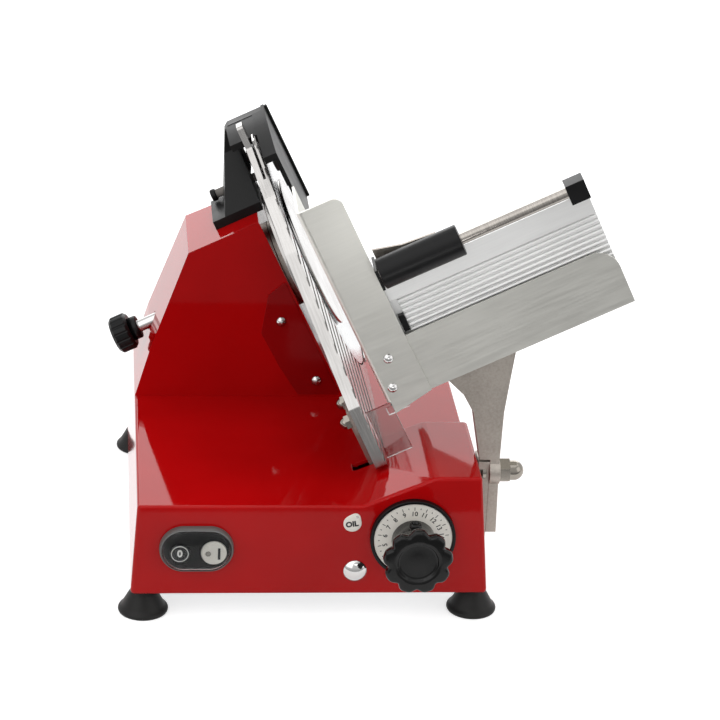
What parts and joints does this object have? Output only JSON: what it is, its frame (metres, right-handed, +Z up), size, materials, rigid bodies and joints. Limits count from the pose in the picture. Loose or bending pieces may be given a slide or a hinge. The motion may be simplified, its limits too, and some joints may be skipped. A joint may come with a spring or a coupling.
{
  "type": "electric gravity food slicer",
  "caption": "Tabletop gravity slicer with a red cast base, tilted round blade in a ring guard, adjustable gauge plate and a sliding product tray with a pusher and hand guard",
  "frame": {"origin": "on the table under the middle of the whole slicer, feet standing on Z = 0", "axes": "+X to the right of the operator towards the tray, +Y away from the operator, +Z up"},
  "size_m": [0.4268, 0.427, 0.3901],
  "materials": {
    "red_enamel": "glossy fired enamel over cast aluminium",
    "dark_red_enamel": "glossy enamel on sheet metal",
    "plain_steel": "plain satin steel",
    "bearing_steel": "ground steel",
    "blade_steel": "polished and turned stainless steel",
    "chrome": "bright chrome plating",
    "polished_aluminium": "polished and anodised",
    "satin_aluminium": "satin anodised",
    "cast_aluminium": "tumbled casting",
    "black_rubber": "matte moulded rubber",
    "black_plastic": "moulded, slight sheen",
    "dark_plastic": "moulded, glossy",
    "white_plastic": "moulded, glossy",
    "clear_plastic": "clear moulded acrylic sheet",
    "cream_plastic": "printed disc",
    "grey_stone": "bonded abrasive"
  },
  "bodies": {
    "base": {"base_casing": "red_enamel", "bottom_plate": "plain_steel", "foot_front_left": "black_rubber", "foot_front_right": "black_rubber", "foot_rear_left": "black_rubber", "foot_rear_right": "black_rubber", "foot_screws": "plain_steel", "motor_housing": "red_enamel", "housing_cover_plate": "dark_red_enamel", "cover_screws": "chrome", "motor": "plain_steel", "bearing_housing": "cast_aluminium", "shaft_bearings": "bearing_steel", "drive_belt": "black_rubber", "ring_guard": "polished_aluminium", "blade_cover": "polished_aluminium", "carriage_rod": "bearing_steel", "anti_turn_rod": "bearing_steel", "gauge_rod": "bearing_steel", "gauge_rod_bracket": "cast_aluminium", "switch_housing": "black_plastic", "dial_ring": "black_plastic", "chrome_plug": "chrome", "cable_gland": "black_plastic", "sharpener_body": "black_plastic", "sharpener_hood": "black_plastic"},
    "blade_set": {"blade": "blade_steel", "blade_shaft": "bearing_steel", "blade_pulley": "cast_aluminium", "blade_screws": "plain_steel"},
    "motor_drive": {"motor_pulley": "cast_aluminium"},
    "tie_rod_set": {"tie_rod": "chrome", "tie_rod_knob": "black_plastic"},
    "thickness_set": {"thickness_knob": "black_plastic", "dial_disc": "cream_plastic", "knob_shaft": "bearing_steel", "thickness_cam": "cast_aluminium"},
    "gauge_set": {"gauge_plate": "polished_aluminium", "gauge_support": "cast_aluminium", "gauge_nuts": "chrome", "cam_roller": "bearing_steel"},
    "carriage_set": {"carriage_slider": "cast_aluminium", "carriage_arm": "cast_aluminium", "arm_nut": "chrome", "tray": "satin_aluminium", "ribbed_wall": "satin_aluminium", "wall_end_cap": "black_plastic", "hand_guard": "satin_aluminium", "guard_shield": "clear_plastic", "guard_screws": "chrome", "pusher_rod": "bearing_steel", "rod_brackets": "black_plastic"},
    "sleeve_set": {"pusher_sleeve": "black_plastic"},
    "grip_set": {"pusher_handle": "black_plastic", "pusher_plate": "cast_aluminium"},
    "stop_set": {"stop_button": "dark_plastic"},
    "start_set": {"start_button": "white_plastic"},
    "stone_set": {"sharpening_stone": "grey_stone", "sharpening_button": "black_plastic"},
    "deburr_set": {"deburring_stone": "grey_stone"}
  },
  "joints": [
    {"name": "blade_spin", "type": "hinge", "parent": "base", "child": "blade_set", "pos_m": [-0.0322, 0.0955, 0.227], "axis": [0.8988, 0, 0.4384], "continuous": true},
    {"name": "motor_spin", "type": "hinge", "parent": "base", "child": "motor_drive", "pos_m": [-0.00327, 0.0955, 0.16768], "axis": [0.8988, 0, 0.4384], "continuous": true},
    {"name": "tie_rod_turn", "type": "hinge", "parent": "base", "child": "tie_rod_set", "pos_m": [-0.0322, 0.0955, 0.227], "axis": [0.8988, 0, 0.4384], "range_deg": [0, 180]},
    {"name": "thickness_turn", "type": "hinge", "parent": "base", "child": "thickness_set", "pos_m": [0.0379, -0.1665, 0.078], "axis": [0, -1, 0], "range_deg": [0, 286]},
    {"name": "gauge_slide", "type": "slide", "parent": "base", "child": "gauge_set", "axis": [-0.8988, 0, -0.4384], "range_m": [0, 0.014]},
    {"name": "carriage_slide", "type": "slide", "parent": "base", "child": "carriage_set", "axis": [0, 1, 0], "range_m": [0, 0.225]},
    {"name": "pusher_slide", "type": "slide", "parent": "carriage_set", "child": "sleeve_set", "axis": [0.8988, 0, 0.4384], "range_m": [0, 0.088]},
    {"name": "pusher_swing", "type": "hinge", "parent": "sleeve_set", "child": "grip_set", "pos_m": [0.03379, -0.1465, 0.31982], "axis": [0.8988, 0, 0.4384], "range_deg": [0, 91]},
    {"name": "stop_press", "type": "slide", "parent": "base", "child": "stop_set", "axis": [0, 1, 0], "range_m": [0, 0.003], "stiffness_N_per_m": 600},
    {"name": "start_press", "type": "slide", "parent": "base", "child": "start_set", "axis": [0, 1, 0], "range_m": [0, 0.003], "stiffness_N_per_m": 600},
    {"name": "sharpen_press", "type": "slide", "parent": "base", "child": "stone_set", "axis": [0.8988, 0, 0.4384], "range_m": [0, 0.002], "stiffness_N_per_m": 1500},
    {"name": "deburr_press", "type": "slide", "parent": "base", "child": "deburr_set", "axis": [-0.8988, 0, -0.4384], "range_m": [0, 0.002], "stiffness_N_per_m": 800}
  ],
  "couplings": [
    {"joint": "motor_spin", "follows": "blade_spin", "ratio": 3.6},
    {"joint": "thickness_turn", "follows": "gauge_slide", "rad_per_m": 356.5},
    {"joint": "deburr_press", "follows": "sharpen_press", "ratio": 0.8}
  ]
}
